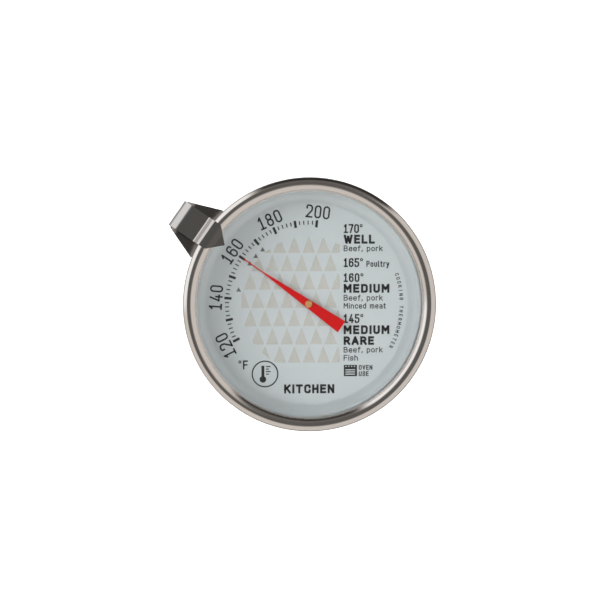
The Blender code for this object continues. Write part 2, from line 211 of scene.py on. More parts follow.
def steel(name, color, roughness, grain, smudge, turned_grain=True, across=9000, along=5,
          painted_shade_below=None):
    """Bare steel: fine grain in colour, gloss and relief, soft smudges and hairline marks.

    Below a given height the base colour fades to half its brightness: painted shade for the low
    parts that sit in shadow.
    """
    n = Finish(name)
    if turned_grain:
        lines = n.noise(n.ring_position(across, along), 1.0, 4.0, 0.7)
    else:
        lines = n.noise(n.stretched_position(across, along, across), 1.0, 4.0, 0.7)
    handled = n.noise(n.position(), 110.0, 4.0, 0.6)
    hairs = n.noise(n.stretched_position(900, 11000, 900), 1.0, 2.0, 0.5)
    marks = n.spread(hairs, 0.0, 1.0, 0.66, 0.72)
    gloss = n.math("ADD", n.spread(lines, roughness - grain, roughness + grain),
                   n.spread(handled, 0.0, smudge, 0.45, 0.75))
    base = n.tint(n.spread(lines, 0.0, 1.0), scaled(color, 0.93), color)
    if painted_shade_below is not None:
        # painted shade: under the given height the base colour darkens to half
        height = n.add("SeparateXYZ", Vector=n.position()).outputs[2]
        bright = n.spread(height, 0.0, 1.0, painted_shade_below, painted_shade_below + 1.5 * MM)
        base = n.tint(bright, scaled(color, 0.5), base)
    n.set(Base_Color=base,
          Metallic=1.0,
          Roughness=n.math("ADD", gloss, n.math("MULTIPLY", marks, 0.05)),
          Normal=n.bump(lines, 0.004 * MM, 0.35))
    return n.material


def dial_finish():
    """Satin silver coat on aluminium: tiny flakes, a soft sheen and faint cloudiness."""
    n = Finish("dial_silver_coat")
    flakes = n.add("TexVoronoi", Vector=n.position(), Scale=7000.0).outputs["Color"]
    sparkle = n.add("SeparateColor", Color=flakes).outputs[0]
    cloud = n.noise(n.position(), 70.0, 3.0)
    mottle = n.math("ADD", n.math("MULTIPLY", sparkle, 0.35), n.math("MULTIPLY", cloud, 0.65))
    light = srgb(212, 218, 220)
    n.set(Base_Color=n.tint(n.spread(mottle, 0.0, 1.0, 0.2, 0.8), scaled(light, 0.95), light),
          Metallic=0.25,
          Roughness=n.spread(sparkle, 0.30, 0.40, 0.0, 1.0),
          Normal=n.bump(n.noise(n.position(), 2500.0, 2.0), 0.003 * MM, 0.5))
    return n.material


def ink(name, color, roughness=0.55):
    """Screen-printed ink with slightly uneven cover."""
    n = Finish(name)
    cover = n.noise(n.position(), 3500.0, 3.0)
    n.set(Base_Color=n.tint(n.spread(cover, 0.0, 1.0), scaled(color, 0.82), scaled(color, 1.1)),
          Roughness=n.spread(cover, roughness - 0.06, roughness + 0.08),
          Normal=n.bump(cover, 0.004 * MM, 0.4))
    return n.material


def red_paint():
    """Satin red enamel with a fine grain, a little darker where the coat is thin."""
    n = Finish("pointer_red_enamel")
    grain = n.noise(n.position(), 5200.0, 3.0, 0.65)
    drift = n.noise(n.position(), 260.0, 2.0)
    mixed = n.math("ADD", n.math("MULTIPLY", grain, 0.6), n.math("MULTIPLY", drift, 0.4))
    n.set(Base_Color=n.tint(n.spread(mixed, 0.0, 1.0), srgb(188, 5, 10), srgb(204, 9, 14)),
          Roughness=n.spread(grain, 0.40, 0.52),
          Specular_IOR_Level=0.3,
          Normal=n.bump(grain, 0.008 * MM, 0.5))
    return n.material


def turned_brass():
    """Slightly tarnished brass with fine turning lines."""
    n = Finish("turned_brass")
    lines = n.noise(n.ring_position(16000, 2), 1.0, 3.0)
    stain = n.noise(n.position(), 1500.0, 3.0)
    n.set(Base_Color=n.tint(n.spread(stain, 0.0, 1.0), srgb(204, 152, 88), srgb(236, 190, 124)),
          Metallic=0.45,
          Roughness=n.spread(lines, 0.22, 0.36),
          Normal=n.bump(lines, 0.004 * MM, 0.5))
    return n.material


def rubber():
    """Pale silicone with a dusty, matte surface."""
    n = Finish("gasket_silicone")
    dust = n.noise(n.position(), 900.0, 4.0)
    n.set(Base_Color=n.tint(n.spread(dust, 0.0, 1.0), srgb(142, 140, 136), srgb(160, 158, 153)),
          Roughness=n.spread(dust, 0.6, 0.8),
          Normal=n.bump(dust, 0.01 * MM, 0.5))
    return n.material


def lens_glass():
    """Clear flat glass that lets lamp light through to the dial."""
    n = Finish("lens_clear_glass")
    film = n.noise(n.position(), 90.0, 4.0, 0.6)
    n.set(Base_Color=(0.985, 0.995, 0.995, 1.0),
          Roughness=n.spread(film, 0.0, 0.012, 0.5, 0.8),
          IOR=1.5,
          Transmission_Weight=1.0)
    clear = n.add("BsdfTransparent", Color=(0.97, 0.98, 0.98, 1.0))
    path = n.add("LightPath")
    mix = n.add("MixShader")
    n.put(mix.inputs[0], path.outputs["Is Shadow Ray"])
    n.put(mix.inputs[1], n.shader.outputs[0])
    n.put(mix.inputs[2], clear.outputs[0])
    n.put(n.output.inputs["Surface"], mix.outputs[0])
    return n.material


# ---- mesh helpers

def add_piece(name, mesh, finish, body, stands_for=()):
    """Put a mesh in the scene as a visible piece that rides on a CAD body."""
    mesh.materials.append(finish)
    made = bpy.data.objects.new(name, mesh)
    bpy.context.scene.collection.objects.link(made)
    mesh.shade_smooth()
    mesh.set_sharp_from_angle(angle=math.radians(35))
    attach(made, body)
    if stands_for:
        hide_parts(*stands_for)
    return made


def add_turned(name, profile, segments, finish, body, node):
    """Turn a profile into a visible piece that stands for a CAD node."""
    add_piece(name, turned(name, profile, segments), finish, body, [node])


def mesh_from(name, shape):
    bmesh.ops.recalc_face_normals(shape, faces=shape.faces)
    mesh = bpy.data.meshes.new(name)
    shape.to_mesh(mesh)
    shape.free()
    return mesh


def fillet(before, corner, after, radius, steps):
    """Points of the arc that rounds a corner, no larger than its two sides allow."""
    u = before - corner
    v = after - corner
    room = 0.499 * min(u.length, v.length)
    u.normalize()
    v.normalize()
    half = u.angle(v) / 2
    if half > math.radians(89.5):
        return [corner]
    cut = min(radius / math.tan(half), room)
    bend = cut * math.tan(half)
    center = corner + (u + v).normalized() * (bend / math.sin(half))
    start = corner + u * cut - center
    turn = start.angle_signed(corner + v * cut - center)
    points = []
    for i in range(steps + 1):
        points.append(center + Matrix.Rotation(-turn * i / steps, 2) @ start)
    return points


def rounded(points, closed=False, steps=6):
    """Run of (x, y) or (x, y, radius) corners as a run of points with its corners rounded."""
    run = []
    count = len(points)
    for i, point in enumerate(points):
        here = Vector(point[:2])
        inner = closed or 0 < i < count - 1
        if len(point) < 3 or not inner:
            run.append(here)
            continue
        before = Vector(points[i - 1][:2])
        after = Vector(points[(i + 1) % count][:2])
        run += fillet(before, here, after, point[2], steps)
    return run


def side_offsets(run, closed, half):
    """Left and right edges of a ribbon along a run, mitred at its corners."""
    left = []
    right = []
    count = len(run)
    for i, here in enumerate(run):
        before = run[i - 1] if (i or closed) else None
        after = run[(i + 1) % count] if (i < count - 1 or closed) else None
        into = (here - before) if before else (after - here)
        out_of = (after - here) if after else into
        side_in = Vector((-into.y, into.x)).normalized()
        side_out = Vector((-out_of.y, out_of.x)).normalized()
        miter = side_in + side_out
        miter.normalize()
        reach = half / max(miter.dot(side_in), 0.35)
        left.append(here + miter * reach)
        right.append(here - miter * reach)
    return left, right


def turned(name, profile, segments):
    """Turn a closed outline of (r, z) points about Z. A point at r = 0 is a pole."""
    shape = bmesh.new()
    rings = []
    for r, z in profile:
        if r == 0:
            rings.append([shape.verts.new((0, 0, z))] * segments)
            continue
        ring = []
        for i in range(segments):
            angle = 2 * math.pi * i / segments
            ring.append(shape.verts.new((r * math.cos(angle), r * math.sin(angle), z)))
        rings.append(ring)
    for lower, upper in zip(rings, rings[1:] + rings[:1]):
        for i in range(segments):
            j = (i + 1) % segments
            corners = list(dict.fromkeys([lower[i], lower[j], upper[j], upper[i]]))
            if len(corners) > 2:
                shape.faces.new(corners)
    return mesh_from(name, shape)


def oval_arc(center, half_width, half_height, start, end, steps):
    """Points (r, z) along part of an ellipse, its angles in degrees from outwards."""
    points = []
    for i in range(steps + 1):
        angle = math.radians(start + (end - start) * i / steps)
        r = center[0] + half_width * math.cos(angle)
        points.append((r, center[1] + half_height * math.sin(angle)))
    return points


def sheet_profile(face, thickness, steps=6):
    """Bent sheet: a run of rounded corners and its copy, one thickness to the right."""
    run = rounded(face, steps=steps)
    other_face = side_offsets(run, False, thickness)[1]
    return run + other_face[::-1]


# ---- head

def bezel_profile():
    """Short inner wall, crowned bead, narrower skirt and crimped back lip, as one sheet."""
    window = 31.25 * MM
    crown = 33.3 * MM
    inner_fall = 1.9 * MM
    outer_fall = 1.6 * MM
    skirt = 34.3 * MM
    face = [(window, LENS_TOP + 0.3 * MM), (window, CROWN_TOP - 1.2 * MM, 0.12 * MM)]
    face += oval_arc((crown, CROWN_TOP - inner_fall), 2.15 * MM, inner_fall, 155, 90, 16)
    face += oval_arc((crown, CROWN_TOP - outer_fall), HEAD_RADIUS - crown, outer_fall, 84, -34, 20)
    face += [(skirt, CROWN_TOP - 3.3 * MM, 1.2 * MM), (skirt, RIM_BACK, 0.8 * MM)]
    face += [(32.6 * MM, RIM_BACK)]
    return sheet_profile(face, SHEET, 10)


def make_head():
    rim_steel = steel("bezel_polished_steel", srgb(229, 224, 220), 0.13, 0.03, 0.05)
    case_steel = steel("case_drawn_steel", srgb(205, 201, 198), 0.28, 0.07, 0.06, across=6000)
    add_turned("bezel_rolled_ring", bezel_profile(), 240, rim_steel,
               "head", "bezel_ring")
    make_case(case_steel)
    make_lens()
    make_dial()


def make_case(finish):
    """Drawn cup with a dished seat round the stem and a softly rounded corner."""
    flange_bottom = RIM_BACK + SHEET + GAP
    wall = 32.1 * MM
    corner = 4.0 * MM
    hole = STEM_RADIUS + GAP
    seat_radius = 9.0 * MM
    seat_slope = 0.6 * MM
    seat_depth = 0.3 * MM
    seat_bend = 0.5 * MM
    face = [(hole, seat_depth), (seat_radius, seat_depth, seat_bend)]
    face += [(seat_radius + seat_slope, 0.0, seat_bend)]
    face += [(wall, 0.0, corner), (wall, flange_bottom, 0.3 * MM)]
    face += [(high("case_back")[0], flange_bottom)]
    profile = sheet_profile(face[::-1], SHEET, 10)
    add_turned("case_drawn_cup", profile, 200, finish, "head", "case_back")


def make_lens():
    bevel = 0.25 * MM
    profile = [(0, LENS_BOTTOM), (LENS_RADIUS - bevel, LENS_BOTTOM)]
    profile += [(LENS_RADIUS, LENS_BOTTOM + bevel), (LENS_RADIUS, LENS_TOP - bevel)]
    profile += [(LENS_RADIUS - bevel, LENS_TOP), (0, LENS_TOP)]
    add_turned("lens_flat_glass", profile, 200, lens_glass(), "head", "lens")


def make_dial():
    """Pressed pan: flat face, hollow rim, flange."""
    depth = PAN_TOP - DIAL_TOP
    rim = 3.0 * MM
    shaft_hole = 0.75 * MM
    face = [(shaft_hole, DIAL_TOP)]
    face += oval_arc((DIAL_FLAT_RADIUS, PAN_TOP), rim, depth, -90, -8, 20)
    face += [(DIAL_FLAT_RADIUS + rim + 0.3 * MM, PAN_TOP, 0.15 * MM), (PAN_RADIUS, PAN_TOP)]
    profile = sheet_profile(face, PAN_SHEET, 6)
    add_turned("dial_pressed_pan", profile, 200, dial_finish(), "head", "dial_pan")


# ---- lettering

R = 0.27                           # bend of the round letters, on a cap height of 1
TRACKING = 0.16                    # gap between letters, as a share of their cap height
DEGREE_LINE = 0.65                 # line of the degree sign, as a share of the other lines'
WIDEST_LETTERS = 1.35              # how far letters are widened or narrowed to fit a length
NARROWEST_LETTERS = 0.9


def box_stroke(x0, y0, x1, y1, radius=R):
    """Closed rounded frame, the base of the round letters."""
    return ("closed", [(x0, y0, radius), (x1, y0, radius), (x1, y1, radius), (x0, y1, radius)])


def stroke(*points):
    return ("open", list(points))


def loop(*points):
    return ("closed", list(points))


# Each letter: its width, then its strokes, on a cap height of 1
GLYPHS = {
    "0": (0.5, [box_stroke(0, 0, 0.5, 1)]),
    "1": (0.42, [stroke((0.02, 0.8), (0.18, 0.98)), stroke((0.2, 1), (0.2, 0)),
                 stroke((0, 0), (0.42, 0))]),
    "2": (0.5, [stroke((0, 0.76), (0, 1, R), (0.5, 1, R), (0.5, 0.58, 0.2), (0.02, 0.02)),
                stroke((0, 0), (0.52, 0))]),
    "4": (0.52, [stroke((0.3, 1), (0.02, 0.26)), stroke((0, 0.24), (0.52, 0.24)),
                 stroke((0.38, 0.5), (0.38, 0))]),
    "5": (0.5, [stroke((0.46, 1), (0.04, 1), (0.02, 0.58), (0.5, 0.6, R), (0.5, 0, R),
                       (0, 0, R), (0, 0.2))]),
    "6": (0.5, [box_stroke(0, 0, 0.5, 0.6), stroke((0, 0.3), (0, 1, R), (0.48, 1, R),
                                                   (0.48, 0.82))]),
    "7": (0.48, [stroke((0, 1), (0.48, 1)), stroke((0.47, 0.98), (0.16, 0))]),
    "8": (0.5, [box_stroke(0, 0, 0.5, 0.53), box_stroke(0.03, 0.53, 0.47, 1)]),
    "°": (0.28, [box_stroke(0, 0.72, 0.28, 1, 0.14)]),
    ",": (0.08, [stroke((0.08, 0.1), (0, -0.16))]),
    "A": (0.6, [stroke((0, 0), (0.29, 0.98)), stroke((0.31, 0.98), (0.6, 0)),
                stroke((0.1, 0.3), (0.5, 0.3))]),
    "B": (0.5, [loop((0, 0), (0.5, 0, R), (0.5, 0.53, R), (0, 0.53)),
                loop((0, 0.53), (0.46, 0.53, R), (0.46, 1, R), (0, 1))]),
    "C": (0.5, [stroke((0.5, 0.75), (0.5, 1, R), (0, 1, R), (0, 0, R), (0.5, 0, R),
                       (0.5, 0.25))]),
    "D": (0.52, [loop((0, 0), (0.52, 0, R), (0.52, 1, R), (0, 1))]),
    "E": (0.45, [stroke((0.45, 1), (0, 1), (0, 0), (0.45, 0)), stroke((0, 0.52), (0.4, 0.52))]),
    "F": (0.45, [stroke((0.45, 1), (0, 1), (0, 0)), stroke((0, 0.5), (0.4, 0.5))]),
    "G": (0.5, [stroke((0.5, 0.78), (0.5, 1, R), (0, 1, R), (0, 0, R), (0.5, 0, R),
                       (0.5, 0.48), (0.28, 0.48))]),
    "H": (0.5, [stroke((0, 0), (0, 1)), stroke((0.5, 0), (0.5, 1)),
                stroke((0, 0.5), (0.5, 0.5))]),
    "I": (0.0, [stroke((0, 0), (0, 1))]),
    "K": (0.52, [stroke((0, 0), (0, 1)), stroke((0.5, 1), (0, 0.42)),
                 stroke((0.17, 0.6), (0.52, 0))]),
    "L": (0.44, [stroke((0, 1), (0, 0), (0.44, 0))]),
    "M": (0.64, [stroke((0, 0), (0, 1)), stroke((0.03, 0.96), (0.32, 0.42)),
                 stroke((0.32, 0.42), (0.61, 0.96)), stroke((0.64, 1), (0.64, 0))]),
    "N": (0.52, [stroke((0, 0), (0, 1)), stroke((0.02, 0.96), (0.5, 0.04)),
                 stroke((0.52, 0), (0.52, 1))]),
    "O": (0.52, [box_stroke(0, 0, 0.52, 1)]),
    "P": (0.5, [stroke((0, 0), (0, 1), (0.5, 1, R), (0.5, 0.46, R), (0, 0.46))]),
    "R": (0.52, [stroke((0, 0), (0, 1), (0.5, 1, R), (0.5, 0.46, R), (0, 0.46)),
                 stroke((0.26, 0.46), (0.54, 0))]),
    "S": (0.48, [stroke((0.48, 0.78), (0.48, 1, R), (0, 1, R), (0, 0.53, R), (0.48, 0.53, R),
                        (0.48, 0, R), (0, 0, R), (0, 0.22))]),
    "T": (0.54, [stroke((0, 1), (0.54, 1)), stroke((0.27, 1), (0.27, 0))]),
    "U": (0.5, [stroke((0, 1), (0, 0, R), (0.5, 0, R), (0.5, 1))]),
    "V": (0.56, [stroke((0, 1), (0.27, 0.02)), stroke((0.29, 0.02), (0.56, 1))]),
    "W": (0.8, [stroke((0, 1), (0.19, 0.02)), stroke((0.21, 0.02), (0.4, 0.85)),
                stroke((0.4, 0.85), (0.59, 0.02)), stroke((0.61, 0.02), (0.8, 1))]),
    "a": (0.42, [stroke((0.04, 0.7), (0.42, 0.7, R), (0.42, 0)),
                 loop((0.42, 0), (0, 0, 0.2), (0, 0.4, 0.2), (0.42, 0.4))]),
    "c": (0.4, [stroke((0.4, 0.52), (0.4, 0.7, R), (0, 0.7, R), (0, 0, R), (0.4, 0, R),
                       (0.4, 0.18))]),
    "d": (0.42, [loop((0.42, 0), (0, 0, R), (0, 0.7, R), (0.42, 0.7)),
                 stroke((0.42, 0), (0.42, 1))]),
    "e": (0.42, [stroke((0, 0.36), (0.42, 0.36), (0.42, 0.7, R), (0, 0.7, R), (0, 0, R),
                        (0.4, 0, R), (0.4, 0.1))]),
    "f": (0.3, [stroke((0.12, 0), (0.12, 1, 0.15), (0.3, 1)), stroke((0, 0.7), (0.28, 0.7))]),
    "h": (0.42, [stroke((0, 0), (0, 1)), stroke((0, 0.7), (0.42, 0.7, R), (0.42, 0))]),
    "i": (0.0, [stroke((0, 0), (0, 0.66)), stroke((0, 0.97), (0, 1))]),
    "k": (0.4, [stroke((0, 0), (0, 1)), stroke((0.38, 0.7), (0, 0.3)),
                stroke((0.13, 0.43), (0.42, 0))]),
    "l": (0.12, [stroke((0, 1), (0, 0, 0.15), (0.12, 0))]),
    "m": (0.66, [stroke((0, 0), (0, 0.7), (0.33, 0.7, R), (0.33, 0)),
                 stroke((0.33, 0.7), (0.66, 0.7, R), (0.66, 0))]),
    "n": (0.42, [stroke((0, 0), (0, 0.7), (0.42, 0.7, R), (0.42, 0))]),
    "o": (0.42, [box_stroke(0, 0, 0.42, 0.7)]),
    "p": (0.42, [loop((0, 0), (0.42, 0, R), (0.42, 0.7, R), (0, 0.7)),
                 stroke((0, 0.7), (0, -0.26))]),
    "r": (0.26, [stroke((0, 0), (0, 0.7), (0.27, 0.7))]),
    "s": (0.38, [stroke((0.38, 0.56), (0.38, 0.7, 0.17), (0, 0.7, 0.17), (0, 0.36, 0.17),
                        (0.38, 0.36, 0.17), (0.38, 0, 0.17), (0, 0, 0.17), (0, 0.14))]),
    "t": (0.28, [stroke((0.1, 0.95), (0.1, 0, 0.15), (0.28, 0)), stroke((0, 0.7), (0.28, 0.7))]),
    "u": (0.42, [stroke((0, 0.7), (0, 0, R), (0.42, 0, R), (0.42, 0.7))]),
    "y": (0.42, [stroke((0, 0.7), (0.22, 0)), stroke((0.44, 0.7), (0.14, -0.26), (0, -0.26))]),
    " ": (0.2, []),
}


class Print:
    """One colour of print on the dial, gathered as thin plates and ribbons."""

    def __init__(self, name, finish, level=0):
        self.name = name
        self.finish = finish
        self.shape = bmesh.new()
        self.bottom = DIAL_TOP + INK_LIFT + level * (INK_THICKNESS + INK_LIFT)

    def prism(self, bottom_ring, top_ring):
        count = len(bottom_ring)
        self.shape.faces.new(top_ring)
        self.shape.faces.new(bottom_ring[::-1])
        for i in range(count):
            j = (i + 1) % count
            self.shape.faces.new((bottom_ring[i], bottom_ring[j], top_ring[j], top_ring[i]))

    def plate(self, outline):
        """Thin flat plate with a simple outline of (x, y) points."""
        top = self.bottom + INK_THICKNESS
        lower = [self.shape.verts.new((x, y, self.bottom)) for x, y in outline]
        upper = [self.shape.verts.new((x, y, top)) for x, y in outline]
        self.prism(lower, upper)

    def ribbon(self, run, closed, width, place):
        """Line of even width along a run of points, moved into place by a 3 by 3 matrix."""
        left, right = side_offsets(run, closed, width / 2)
        rings = []
        for a, b in zip(left, right):
            ring = []
            for point, z in ((a, self.bottom), (b, self.bottom),
                             (b, self.bottom + INK_THICKNESS), (a, self.bottom + INK_THICKNESS)):
                moved = place @ Vector((point.x, point.y, 1.0))
                ring.append(self.shape.verts.new((moved.x, moved.y, z)))
            rings.append(ring)
        pairs = list(zip(rings, rings[1:] + rings[:1])) if closed else list(zip(rings, rings[1:]))
        for here, after in pairs:
            for k in range(4):
                m = (k + 1) % 4
                self.shape.faces.new((here[k], here[m], after[m], after[k]))
        if not closed:
            self.shape.faces.new(rings[0])
            self.shape.faces.new(rings[-1])

    def letter(self, char, cap, width, place, stretch=1.0):
        """One letter, its cap height measured over the line's full width."""
        line = line_width(char, width)
        unit = cap - line
        inset = place @ flat_place(line / 2, line / 2)
        for kind, points in GLYPHS[char][1]:
            closed = kind == "closed"
            sized = []
            for x, y, *bend in points:
                sized.append((x * unit * stretch, y * unit, *[b * unit for b in bend]))
            run = rounded(sized, closed)
            self.ribbon(run if closed else full_ends(run, line / 2), closed, line, inset)

    def text(self, words, cap, width, place, fit=None, centered=False):
        """One line of letters, widened and then spaced to fit a length."""
        lines = sum(line_width(char, width) for char in words)
        bodies = sum(letter_width(char, cap, width) for char in words) - lines
        gaps = len(words) - 1
        gap = TRACKING * cap
        stretch = 1.0
        if fit:
            stretch = (fit - gap * gaps - lines) / bodies
            stretch = min(max(stretch, NARROWEST_LETTERS), WIDEST_LETTERS)
            gap = (fit - bodies * stretch - lines) / gaps
        x = -(bodies * stretch + lines + gap * gaps) / 2 if centered else 0.0
        for char in words:
            self.letter(char, cap, width, place @ flat_place(x, 0.0), stretch)
            x += letter_width(char, cap, width, stretch) + gap

    def arc_text(self, words, cap, width, radius, start, pitch):
        """Letters one by one along an arc, reading clockwise with their tops outwards."""
        angle = start
        for char in words:
            spot = place_at(radius, angle, angle - 90)
            half = letter_width(char, cap, width) / 2
            self.letter(char, cap, width, spot @ flat_place(-half, 0.0))
            angle -= math.degrees(pitch / radius)

    def finish_piece(self):
        mesh = mesh_from(self.name, self.shape)
        return add_piece(self.name, mesh, self.finish, "head")


def line_width(char, width):
    """The small ring of the degree sign is drawn with a finer line."""
    return width * DEGREE_LINE if char == "°" else width


def letter_width(char, cap, width, stretch=1.0):
    line = line_width(char, width)
    return GLYPHS[char][0] * (cap - line) * stretch + line


def full_ends(run, reach):
    """The same run with both ends moved outwards, so that a line ends full and square."""
    first = run[0] + (run[0] - run[1]).normalized() * reach
    last = run[-1] + (run[-1] - run[-2]).normalized() * reach
    return [first, *run[1:-1], last]


def flat_place(x, y, turn=0.0):
    """3 by 3 matrix that turns about the origin, then moves by x and y."""
    c = math.cos(math.radians(turn))
    s = math.sin(math.radians(turn))
    return Matrix(((c, -s, x), (s, c, y), (0, 0, 1)))


def place_at(radius, angle, turn):
    a = math.radians(angle)
    return flat_place(radius * math.cos(a), radius * math.sin(a), turn)


def scale_angle(temperature):
    return REST_ANGLE - DEGREES_PER_F * (temperature - REST_TEMPERATURE)


def spoke(inner, outer, angle, width):
    """Outline of a short radial bar."""
    place = flat_place(0, 0, angle)
    corners = ((inner, -width / 2), (outer, -width / 2), (outer, width / 2), (inner, width / 2))
    return [tuple((place @ Vector((x, y, 1.0)))[:2]) for x, y in corners]


def circle(x, y, radius, count=64):
    points = []
    for i in range(count):
        a = 2 * math.pi * i / count
        points.append((x + radius * math.cos(a), y + radius * math.sin(a)))
    return points


def rectangle(x0, y0, x1, y1):
    return [(x0, y0), (x1, y0), (x1, y1), (x0, y1)]


def clip_outline(outline, inside, cross):
    """The part of an outline on one side of a line or a circle."""
    kept = []
    for i, here in enumerate(outline):
        before = outline[i - 1]
        if inside(here) != inside(before):
            kept.append(cross(before, here))
        if inside(here):
            kept.append(here)
    return kept


def crossing(inside):
    """Finds where a short edge crosses a border, by halving it."""
    def find(a, b):
        p = Vector(a)
        q = Vector(b)
        start_inside = inside(a)
        for _ in range(24):
            middle = (p + q) / 2
            if inside(middle) == start_inside:
                p = middle
            else:
                q = middle
        return tuple(p)
    return find


def densify(outline, step):
    points = []
    for i, here in enumerate(outline):
        after = outline[(i + 1) % len(outline)]
        span = Vector(after) - Vector(here)
        parts = max(1, round(span.length / step))
        for k in range(parts):
            points.append(tuple(Vector(here) + span * (k / parts)))
    return points


def print_pattern():
    """Rows of plain triangles, every other row shifted by half a pitch."""
    pitch = 4.06 * MM
    row_pitch = 5.08 * MM
    height = 4.6 * MM
    half_base = 1.74 * MM
    first_base = 14.15 * MM
    field_radius = 18.6 * MM
    right_edge = 8.8 * MM

    def in_field(point):
        return math.hypot(point[0], point[1]) < field_radius

    def left_of_text(point):
        return point[0] < right_edge

    layer = Print("print_triangles", ink("print_greige", srgb(188, 188, 182), 0.6))
    for row in range(7):
        base = first_base - row * row_pitch
        shift = 0.22 * MM + (pitch / 2 if row % 2 else 0.0)
        for column in range(-6, 6):
            x = shift + column * pitch
            outline = [(x - half_base, base), (x + half_base, base), (x, base + height)]
            outline = densify(outline, 0.25 * MM)
            for inside in (in_field, left_of_text):
                outline = clip_outline(outline, inside, crossing(inside))
            if len(outline) > 2:
                layer.plate(outline)
    return layer.finish_piece()


# Ticks of the scale: inner radius, outer radius and width
FINE_TICK = (21.95 * MM, 23.05 * MM, 0.3 * MM)
BOLD_TICK = (21.3 * MM, 23.3 * MM, 0.7 * MM)
SCALE_START = 120
SCALE_END = 200


def print_scale(dark):
    """Ticks every 2 degrees, bold every 10, with numbers every 20."""
    numeral_radius = 25.6 * MM
    numeral_cap = 3.65 * MM
    numeral_line = 0.46 * MM
    numeral_length = 6.7 * MM
    baseline = flat_place(0, -1.8 * MM)
    layer = Print("print_scale", dark)
    for temperature in range(SCALE_START, SCALE_END + 1, 2):
        inner, outer, width = FINE_TICK if temperature % 10 else BOLD_TICK
        layer.plate(spoke(inner, outer, scale_angle(temperature), width))
    for temperature in range(SCALE_START, SCALE_END + 1, 20):
        angle = scale_angle(temperature)
        place = place_at(numeral_radius, angle, angle - 90) @ baseline
        layer.text(str(temperature), numeral_cap, numeral_line, place, fit=numeral_length,
                   centered=True)
    layer.text("°F", 2.5 * MM, 0.42 * MM, flat_place(-19.4 * MM, -18.15 * MM))
    return layer.finish_piece()


def print_target_marks():
    """Small upright triangles inside the scale, at the temperatures of the legend."""
    mark_radius = 19.7 * MM
    half_base = 0.7 * MM
    below = 0.6 * MM
    above = 0.65 * MM
    layer = Print("print_target_marks", ink("print_grey", srgb(104, 104, 101)))
    for temperature in (145, 160, 165, 170):
        angle = math.radians(scale_angle(temperature))
        x = mark_radius * math.cos(angle)
        y = mark_radius * math.sin(angle)
        layer.plate([(x - half_base, y - below), (x + half_base, y - below), (x, y + above)])
    return layer.finish_piece()


# Legend lines: words, baseline, cap height, length, line width, all in millimetres
LEGEND_LEFT = 9.95
LEGEND = (
    ("170°", 19.6, 2.5, 5.3, 0.42),
    ("WELL", 16.65, 2.5, 8.7, 0.62),
    ("Beef, pork", 14.55, 1.62, 10.9, 0.24),
    ("165°", 10.15, 2.5, 5.4, 0.42),
    ("160°", 6.0, 2.45, 5.5, 0.42),
    ("MEDIUM", 3.0, 2.45, 12.8, 0.62),
    ("Beef, pork", 0.83, 1.6, 10.9, 0.24),
    ("Minced meat", -1.39, 1.58, 11.8, 0.24),
    ("145°", -5.4, 2.5, 5.5, 0.42),
    ("MEDIUM", -8.5, 2.45, 12.8, 0.62),
    ("RARE", -11.5, 2.4, 8.5, 0.62),
    ("Beef, pork", -13.62, 1.58, 10.9, 0.24),
    ("Fish", -15.85, 1.58, 4.0, 0.24),
)


def print_legend(dark):
    """Plain list of common serving temperatures."""
    layer = Print("print_legend", dark)
    for words, baseline, cap, length, width in LEGEND:
        layer.text(words, cap * MM, width * MM, flat_place(LEGEND_LEFT * MM, baseline * MM),
                   fit=length * MM)
    layer.text("Poultry", 1.7 * MM, 0.29 * MM, flat_place(16.3 * MM, 10.2 * MM), fit=6.4 * MM)
    layer.text("KITCHEN", 2.5 * MM, 0.6 * MM, flat_place(0.34 * MM, -24.9 * MM), fit=14.0 * MM,
               centered=True)
    layer.arc_text("COOKING THERMOMETER", 1.08 * MM, 0.19 * MM, 25.6 * MM, 18.1, 1.13 * MM)
    return layer.finish_piece()


def print_oven_sign(layer, light):
    """Plain oven with its knobs and a rack, beside two words."""
    left = 10.0 * MM
    bottom = -20.2 * MM
    width = 3.7 * MM
    height = 3.15 * MM
    bar = 0.26 * MM
    knob_radius = 0.17 * MM
    layer.plate(rectangle(left, bottom, left + width, bottom + height))
    for words, rise, length in (("OVEN", 1.75, 3.8), ("USE", 0.0, 2.75)):
        place = flat_place(left + 4.2 * MM, bottom + rise * MM)
        layer.text(words, 1.35 * MM, 0.25 * MM, place, fit=length * MM)
    for knob in range(4):
        x = left + (0.6 + 0.8 * knob) * MM
        light.plate(circle(x, bottom + 2.75 * MM, knob_radius, 16))
    for rise in (0.45, 1.05, 1.65):
        y = bottom + rise * MM
        light.plate(rectangle(left + 0.45 * MM, y, left + 3.15 * MM, y + bar))


def print_thermometer_sign(layer):
    """Thermometer with a bulb and a scale, inside a ring."""
    x = -11.97 * MM
    y = -19.45 * MM
    ring_radius = 3.55 * MM
    ring_line = 0.36 * MM
    ring = [Vector(point) for point in circle(x, y, ring_radius)]
    layer.ribbon(ring, True, ring_line, flat_place(0, 0))
    tube = x - 0.6 * MM
    tube_half = 0.4 * MM
    bulb_radius = 0.92 * MM
    layer.plate(circle(tube, y - 1.5 * MM, bulb_radius, 32))
    layer.plate(rectangle(tube - tube_half, y - 0.75 * MM, tube + tube_half, y + 2.3 * MM))
    tick_start = tube + 0.85 * MM
    tick = 0.3 * MM
    for rise, length in ((1.9, 1.3), (1.2, 0.8), (0.5, 1.3), (-0.2, 0.8)):
        level = y + rise * MM
        layer.plate(rectangle(tick_start, level, tick_start + length * MM, level + tick))


def print_symbols(dark, pale):
    """An oven and a ringed thermometer, both as plain signs."""
    layer = Print("print_symbols", dark)
    light = Print("print_symbols_light", pale, level=1)
    print_oven_sign(layer, light)
    print_thermometer_sign(layer)
    return [layer.finish_piece(), light.finish_piece()]


def make_print():
    dark = ink("print_dark", srgb(40, 40, 42))
    pale = ink("print_pale", srgb(205, 210, 212))
    print_pattern()
    print_scale(dark)
    print_target_marks()
    print_legend(dark)
    print_symbols(dark, pale)


# ---- pointer train

